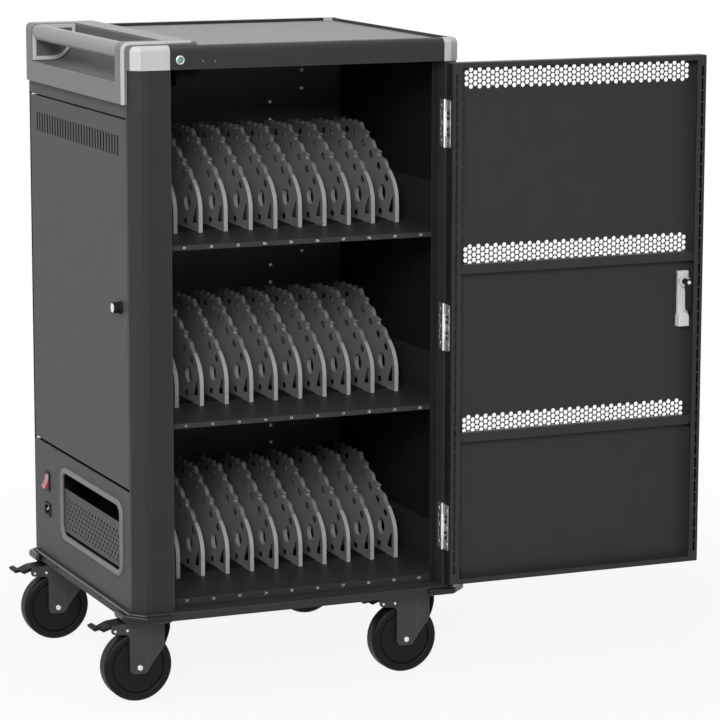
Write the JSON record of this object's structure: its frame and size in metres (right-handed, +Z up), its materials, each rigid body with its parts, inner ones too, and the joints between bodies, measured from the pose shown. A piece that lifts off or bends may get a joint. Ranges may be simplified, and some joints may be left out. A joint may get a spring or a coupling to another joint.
{
  "type": "laptop charging cart",
  "caption": "Steel charging cart on braked casters, hinged front door with honeycomb vents, numbered shelves with upright dividers, side service door and a grip handle.",
  "frame": {"origin": "On the floor, under the middle of the whole object's box with the front door standing open.", "axes": "+X to the right along the front, +Y from the front to the rear, +Z up out of the top plate."},
  "size_m": [1.1074, 0.5998, 1.0982],
  "materials": {
    "dark_paint": "satin powder coat",
    "side_paint": "satin powder coat",
    "black_paint": "matte powder coat",
    "fork_paint": "matte paint",
    "top_paint": "satin",
    "grey_plastic": "satin",
    "pale_plastic": "satin",
    "divider_plastic": "matte",
    "black_plastic": "matte",
    "wheel_rubber": "matte",
    "zinc": "satin",
    "red_plastic": "gloss",
    "green_lens": "gloss"
  },
  "bodies": {
    "cabinet": {"base_tray": "dark_paint", "front_left_post": "dark_paint", "hinge_post": "dark_paint", "top_frame": "dark_paint", "left_lower_panel": "side_paint", "cable_pocket": "side_paint", "right_side_panel": "side_paint", "rear_panel": "side_paint", "inner_left_wall": "black_paint", "inner_back_wall": "black_paint", "shelf_1": "black_paint", "shelf_2": "black_paint", "shelf_3": "black_paint", "top_plate": "top_paint", "handle_housing": "grey_plastic", "handle_bar": "grey_plastic", "control_unit": "grey_plastic", "cap_front_left": "pale_plastic", "cap_front_right": "pale_plastic", "cap_rear_right": "pale_plastic", "divider_rack_1": "divider_plastic", "divider_rack_2": "divider_plastic", "divider_rack_3": "divider_plastic", "power_strip_1": "black_plastic", "power_strip_2": "black_plastic", "power_strip_3": "black_plastic", "power_entry": "black_plastic", "bumper_front_left": "black_plastic", "caster_plate_front_left": "zinc", "bumper_front_right": "black_plastic", "caster_plate_front_right": "zinc", "bumper_rear_left": "black_plastic", "caster_plate_rear_left": "zinc", "bumper_rear_right": "black_plastic", "caster_plate_rear_right": "zinc", "hinge_post_leaf_1": "zinc", "hinge_post_leaf_2": "zinc", "hinge_post_leaf_3": "zinc"},
    "front_door": {"front_door": "dark_paint", "lock_housing": "pale_plastic", "hinge_door_leaf_1": "zinc", "hinge_door_leaf_2": "zinc", "hinge_door_leaf_3": "zinc"},
    "front_lock": {"lock_spindle": "black_plastic"},
    "service_door": {"service_door": "side_paint"},
    "service_lock": {"service_lock": "black_plastic"},
    "power_button": {"power_button": "green_lens"},
    "rocker_switch": {"rocker_switch": "red_plastic"},
    "caster_front_left": {"caster_fork_front_left": "fork_paint"},
    "wheel_front_left": {"caster_wheel_front_left": "wheel_rubber"},
    "pedal_front_left": {"brake_pedal_front_left": "fork_paint"},
    "caster_front_right": {"caster_fork_front_right": "fork_paint"},
    "wheel_front_right": {"caster_wheel_front_right": "wheel_rubber"},
    "pedal_front_right": {"brake_pedal_front_right": "fork_paint"},
    "caster_rear_left": {"caster_fork_rear_left": "fork_paint"},
    "wheel_rear_left": {"caster_wheel_rear_left": "wheel_rubber"},
    "pedal_rear_left": {"brake_pedal_rear_left": "fork_paint"},
    "caster_rear_right": {"caster_fork_rear_right": "fork_paint"},
    "wheel_rear_right": {"caster_wheel_rear_right": "wheel_rubber"},
    "pedal_rear_right": {"brake_pedal_rear_right": "fork_paint"}
  },
  "joints": [
    {"name": "front_door_swing", "type": "hinge", "parent": "cabinet", "child": "front_door", "pos_m": [0.06975, -0.2674, 0.60771], "axis": [0, 0, -1], "range_deg": [0, 180]},
    {"name": "front_lock_turn", "type": "hinge", "parent": "front_door", "child": "front_lock", "pos_m": [0.52325, -0.2824, 0.66261], "axis": [0, -1, 0], "range_deg": [0, 90]},
    {"name": "service_door_swing", "type": "hinge", "parent": "cabinet", "child": "service_door", "pos_m": [-0.47675, 0.2666, 0.67021], "axis": [0, 0, -1], "range_deg": [0, 110]},
    {"name": "service_lock_turn", "type": "hinge", "parent": "service_door", "child": "service_lock", "pos_m": [-0.48525, -0.2054, 0.66571], "axis": [-1, 0, 0], "range_deg": [0, 90]},
    {"name": "power_button_press", "type": "slide", "parent": "cabinet", "child": "power_button", "axis": [0, 1, 0], "range_m": [0, 0.002], "stiffness_N_per_m": 600},
    {"name": "rocker_switch_tilt", "type": "hinge", "parent": "cabinet", "child": "rocker_switch", "pos_m": [-0.48105, 0.2068, 0.29321], "axis": [0, -1, 0], "range_deg": [0, 16]},
    {"name": "swivel_front_left", "type": "hinge", "parent": "cabinet", "child": "caster_front_left", "pos_m": [-0.43575, -0.2134, 0.13871], "axis": [0, 0, 1], "continuous": true},
    {"name": "roll_front_left", "type": "hinge", "parent": "caster_front_left", "child": "wheel_front_left", "pos_m": [-0.46875, -0.2134, 0.05971], "axis": [0, 1, 0], "continuous": true},
    {"name": "brake_front_left", "type": "hinge", "parent": "caster_front_left", "child": "pedal_front_left", "pos_m": [-0.48975, -0.2134, 0.12521], "axis": [0, -1, 0], "range_deg": [0, 15]},
    {"name": "swivel_front_right", "type": "hinge", "parent": "cabinet", "child": "caster_front_right", "pos_m": [0.05025, -0.2134, 0.13871], "axis": [0, 0, 1], "continuous": true},
    {"name": "roll_front_right", "type": "hinge", "parent": "caster_front_right", "child": "wheel_front_right", "pos_m": [0.01725, -0.2134, 0.05971], "axis": [0, 1, 0], "continuous": true},
    {"name": "brake_front_right", "type": "hinge", "parent": "caster_front_right", "child": "pedal_front_right", "pos_m": [-0.00375, -0.2134, 0.12521], "axis": [0, -1, 0], "range_deg": [0, 15]},
    {"name": "swivel_rear_left", "type": "hinge", "parent": "cabinet", "child": "caster_rear_left", "pos_m": [-0.43575, 0.2306, 0.13871], "axis": [0, 0, 1], "continuous": true},
    {"name": "roll_rear_left", "type": "hinge", "parent": "caster_rear_left", "child": "wheel_rear_left", "pos_m": [-0.46875, 0.2306, 0.05971], "axis": [0, 1, 0], "continuous": true},
    {"name": "brake_rear_left", "type": "hinge", "parent": "caster_rear_left", "child": "pedal_rear_left", "pos_m": [-0.48975, 0.2306, 0.12521], "axis": [0, -1, 0], "range_deg": [0, 15]},
    {"name": "swivel_rear_right", "type": "hinge", "parent": "cabinet", "child": "caster_rear_right", "pos_m": [0.05025, 0.2306, 0.13871], "axis": [0, 0, 1], "continuous": true},
    {"name": "roll_rear_right", "type": "hinge", "parent": "caster_rear_right", "child": "wheel_rear_right", "pos_m": [0.01725, 0.2306, 0.05971], "axis": [0, 1, 0], "continuous": true},
    {"name": "brake_rear_right", "type": "hinge", "parent": "caster_rear_right", "child": "pedal_rear_right", "pos_m": [-0.00375, 0.2306, 0.12521], "axis": [0, -1, 0], "range_deg": [0, 15]}
  ]
}
